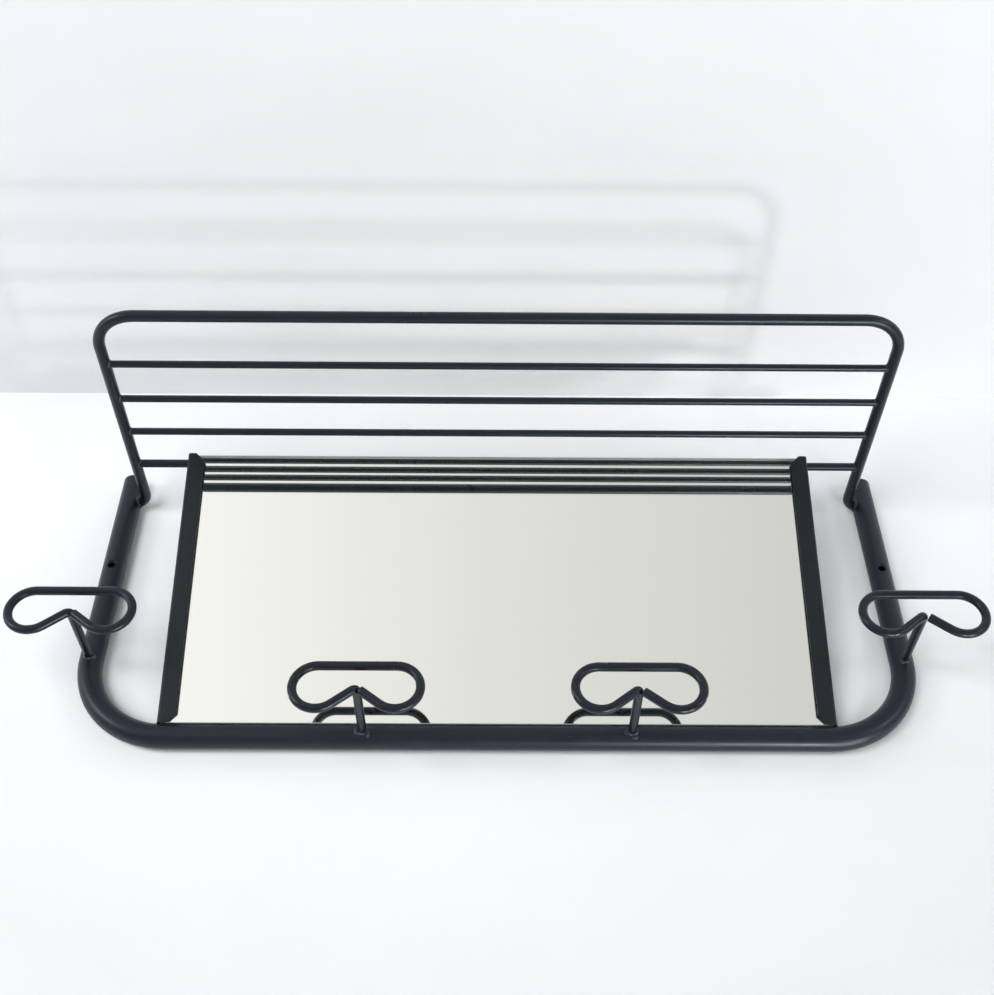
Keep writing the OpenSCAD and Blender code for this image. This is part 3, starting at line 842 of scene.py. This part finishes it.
def room():
    """World: a room that metal and glass reflect, lit in front of the mirror and pale behind the wall, and a fill."""
    world = bpy.data.worlds.new("room")
    scene.world = world
    world.use_nodes = True
    tree = world.node_tree
    tree.nodes.clear()

    def add(kind, inputs=None, **settings):
        made = tree.nodes.new(kind)
        for key, value in settings.items():
            setattr(made, key, value)
        for key, value in (inputs or {}).items():
            if isinstance(value, bpy.types.NodeSocket):
                tree.links.new(value, made.inputs[key])
            else:
                made.inputs[key].default_value = value
        return made

    way = add("ShaderNodeTexCoord").outputs["Generated"]
    split = add("ShaderNodeSeparateXYZ", {"Vector": way})
    across = add("ShaderNodeMapRange", {"Value": split.outputs["X"], "From Min": -ACROSS, "From Max": ACROSS})
    ramp = add("ShaderNodeValToRGB", {"Fac": across.outputs["Result"]})
    while len(ramp.color_ramp.elements) < len(ROOM_STOPS):
        ramp.color_ramp.elements.new(0.5)
    for element, (at, level) in zip(ramp.color_ramp.elements, ROOM_STOPS):
        element.position = at
        element.color = (level, level * 0.995, level * 0.955, 1)
    aim = Vector(WINDOW_WAY).normalized()
    facing = add("ShaderNodeVectorMath", {0: way, 1: aim}, operation="DOT_PRODUCT")
    lit = add("ShaderNodeMapRange", {
        "Value": facing.outputs["Value"], "From Min": LIT_FROM, "From Max": LIT_TO}, interpolation_type="SMOOTHSTEP")
    blend = add("ShaderNodeMix", data_type="RGBA")
    tree.links.new(lit.outputs["Result"], blend.inputs[0])
    blend.inputs[6].default_value = ROOM_DIM
    tree.links.new(ramp.outputs["Color"], blend.inputs[7])
    behind = add("ShaderNodeMapRange", {"Value": split.outputs["Y"], "From Min": 0.0, "From Max": BEHIND_FROM})
    pale = add("ShaderNodeMix", data_type="RGBA")
    tree.links.new(behind.outputs["Result"], pale.inputs[0])
    tree.links.new(blend.outputs[2], pale.inputs[6])
    pale.inputs[7].default_value = BEHIND_WALL
    seen = add("ShaderNodeBackground", {"Color": pale.outputs[2]})
    fill = add("ShaderNodeBackground", {"Color": FILL_TONE, "Strength": FILL})
    # Camera, glossy and transmission rays see the room, all others the fill
    path = add("ShaderNodeLightPath").outputs
    first = add("ShaderNodeMath", {0: path["Is Camera Ray"], 1: path["Is Glossy Ray"]}, operation="ADD")
    total = add("ShaderNodeMath", {0: first.outputs[0], 1: path["Is Transmission Ray"]}, operation="ADD")
    total.use_clamp = True
    mix = add("ShaderNodeMixShader", {0: total.outputs[0], 1: fill.outputs[0], 2: seen.outputs[0]})
    add("ShaderNodeOutputWorld", {"Surface": mix.outputs[0]})


DAYLIGHT = (0.98, 0.988, 1.0)
AIM = (0.0, -0.03, -0.03)


def softbox(name, at, size, power, in_gloss=True, in_diffuse=True):
    """A round lamp aimed at the object. Without in_gloss the mirror and the paint don't show it, and without
    in_diffuse it is seen in their gloss alone and lights nothing else."""
    data = bpy.data.lights.new(name, "AREA")
    data.shape = "DISK"
    data.size = size
    data.energy = power
    data.color = DAYLIGHT
    lamp = bpy.data.objects.new(name, data)
    lamp.location = at
    lamp.rotation_euler = (Vector(AIM) - Vector(at)).to_track_quat("-Z", "Y").to_euler()
    lamp.visible_glossy = in_gloss
    # The mirror's clear front would show a hidden lamp on the way through it
    lamp.visible_transmission = in_gloss and in_diffuse
    lamp.visible_diffuse = in_diffuse
    scene.collection.objects.link(lamp)


room()
# Place in metres, size across in metres, power in watts
softbox("ceiling_bounce", (-0.9, -2.0, -0.6), 1.15, 25, in_gloss=False)
softbox("floor_bounce", (0.2, -1.2, -1.4), 1.0, 5.5, in_gloss=False)
softbox("window_left", (-2.1, -1.55, -0.2), 0.75, 13)
softbox("window_right", (1.4, -1.05, -0.3), 0.45, 3)
softbox("window_front_low", (1.12, -0.08, -1.5), 0.16, 6.5)
softbox("window_front_high", (1.25, -0.5, -1.4), 0.18, 6)
softbox("low_card", (0.54, -0.2, -1.45), 0.3, 9, in_diffuse=False)
softbox("side_card", (-1.0, -0.35, 0.05), 0.55, 0.75, in_diffuse=False)
